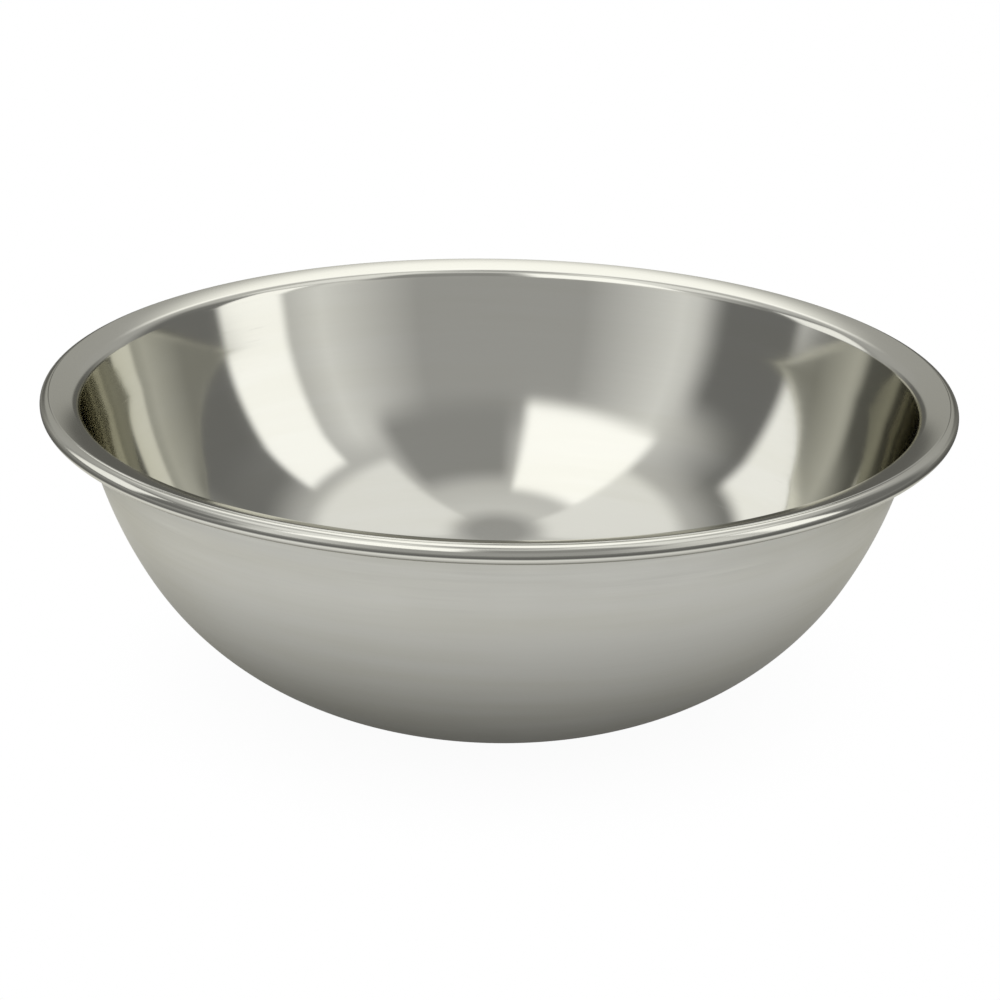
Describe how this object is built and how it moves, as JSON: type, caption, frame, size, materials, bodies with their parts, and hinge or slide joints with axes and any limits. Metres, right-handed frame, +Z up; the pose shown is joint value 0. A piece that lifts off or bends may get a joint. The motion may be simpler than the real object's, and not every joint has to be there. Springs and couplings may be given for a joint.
{
  "type": "mixing bowl",
  "caption": "Shallow round stainless steel mixing bowl with a flat base, curved wall, upturned flange and rolled, wired rim bead.",
  "frame": {"origin": "centre of the flat underside that the bowl stands on", "axes": "+Z up along the bowl's axis, from the base towards the open mouth; the bowl is round, so +X and +Y are free"},
  "size_m": [0.3366, 0.3364, 0.1147],
  "materials": {
    "stainless_sheet": "stainless sheet: satin outside with fine lines running round the bowl, bright mirror polish inside, smooth polished flange and bead",
    "rim_wire_steel": "plain drawn steel wire, hidden inside the rim bead"
  },
  "bodies": {
    "root": {"bowl_shell": "stainless_sheet", "rim_wire": "rim_wire_steel"}
  },
  "joints": []
}
